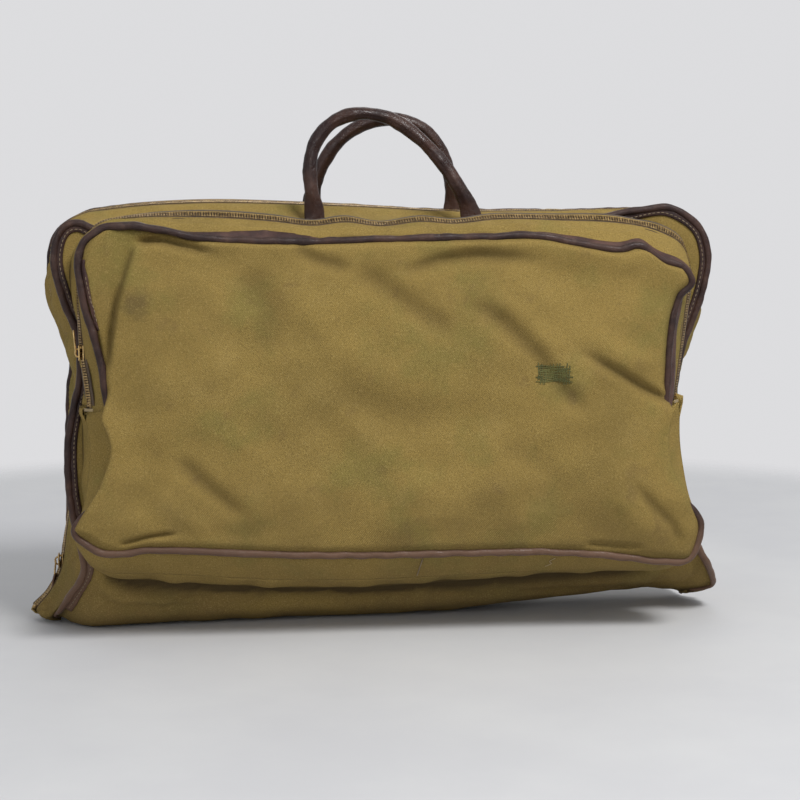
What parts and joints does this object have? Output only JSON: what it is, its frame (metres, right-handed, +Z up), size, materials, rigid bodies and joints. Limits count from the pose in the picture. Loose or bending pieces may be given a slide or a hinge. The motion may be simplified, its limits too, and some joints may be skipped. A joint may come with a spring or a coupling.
{
  "type": "garment bag",
  "caption": "Soft canvas garment bag that folds in half along its base and zips shut, with a gusseted flap pocket, leather piping and rolled leather handles.",
  "frame": {"origin": "on the floor, under the middle of the whole object's box", "axes": "+X to the right seen from the front, -Y out of the front pocket, +Z up; the bottom fold runs along X"},
  "size_m": [0.6052, 0.19, 0.467],
  "materials": {
    "canvas": "heavy olive-khaki cotton canvas, worn and slightly soiled",
    "leather": "dark brown, polished by use, faded at the bottom edge",
    "zip_tape": "brown woven cotton tape",
    "brass": "aged brass",
    "webbing": "ribbed cotton webbing",
    "fibreboard": "brown pressed board",
    "cord": "twisted cotton cord"
  },
  "bodies": {
    "rear_half": {"rear_panel": "canvas", "rear_gusset": "canvas", "rear_fold_panel": "canvas", "rear_bottom_board": "fibreboard", "rear_piping": "leather", "rear_zip_tape": "zip_tape", "rear_zip_teeth": "brass", "main_zip_stop_left": "brass", "main_zip_stop_right": "brass", "garment_strap_upper": "webbing", "garment_strap_lower": "webbing", "strap_buckle_upper": "brass", "strap_buckle_lower": "brass", "hanger_hook": "brass", "rear_handle_tab_left": "leather", "rear_handle_tab_right": "leather"},
    "front_half": {"front_panel": "canvas", "front_gusset": "canvas", "front_fold_panel": "canvas", "front_bottom_board": "fibreboard", "front_piping": "leather", "front_zip_tape": "zip_tape", "front_zip_teeth": "brass", "front_handle_tab_left": "leather", "front_handle_tab_right": "leather", "pocket_lower_panel": "canvas", "pocket_lower_gusset": "canvas", "pocket_lower_piping": "leather", "pocket_top_gusset": "canvas", "pocket_zip_tape": "zip_tape", "pocket_zip_teeth": "brass", "pocket_zip_stop_left": "brass", "pocket_zip_stop_right": "brass"},
    "pocket_flap": {"flap_panel": "canvas", "flap_gusset": "canvas", "flap_piping": "leather", "flap_zip_tape": "zip_tape", "flap_zip_teeth": "brass"},
    "front_handle": {"front_handle_grip": "leather", "front_handle_cord": "cord"},
    "rear_handle": {"rear_handle_grip": "leather", "rear_handle_cord": "cord"},
    "main_slider": {"main_slider": "brass"},
    "main_pull": {"main_pull": "brass", "main_pull_thong": "leather"},
    "pocket_slider": {"pocket_slider": "brass"},
    "pocket_pull": {"pocket_pull": "brass"}
  },
  "joints": [
    {"name": "bottom_fold", "type": "hinge", "parent": "rear_half", "child": "front_half", "pos_m": [0.0026, 0.025, -0.0003], "axis": [1, 0, 0], "range_deg": [0, 175]},
    {"name": "flap_fold", "type": "hinge", "parent": "front_half", "child": "pocket_flap", "pos_m": [0.0026, -0.0953, 0.206], "axis": [1, 0, 0], "range_deg": [0, 150]},
    {"name": "front_handle_hinge", "type": "hinge", "parent": "front_half", "child": "front_handle", "pos_m": [0.0166, -0.012, 0.38445], "axis": [1, 0, 0], "range_deg": [-20, 85]},
    {"name": "rear_handle_hinge", "type": "hinge", "parent": "rear_half", "child": "rear_handle", "pos_m": [0.0166, 0.062, 0.38445], "axis": [-1, 0, 0], "range_deg": [-20, 85]},
    {"name": "main_slider_run", "type": "slide", "parent": "rear_half", "child": "main_slider", "axis": [0, 0, 1], "range_m": [-0.01, 0.25]},
    {"name": "main_pull_hinge", "type": "hinge", "parent": "main_slider", "child": "main_pull", "pos_m": [-0.3003, 0.025, 0.055], "axis": [0, 1, 0], "range_deg": [0, 170]},
    {"name": "pocket_slider_run", "type": "slide", "parent": "front_half", "child": "pocket_slider", "axis": [0, 0, 1], "range_m": [-0.04, 0.06]},
    {"name": "pocket_pull_hinge", "type": "hinge", "parent": "pocket_slider", "child": "pocket_pull", "pos_m": [-0.2728, -0.06588, 0.254], "axis": [0, -1, 0], "range_deg": [0, 170]}
  ]
}
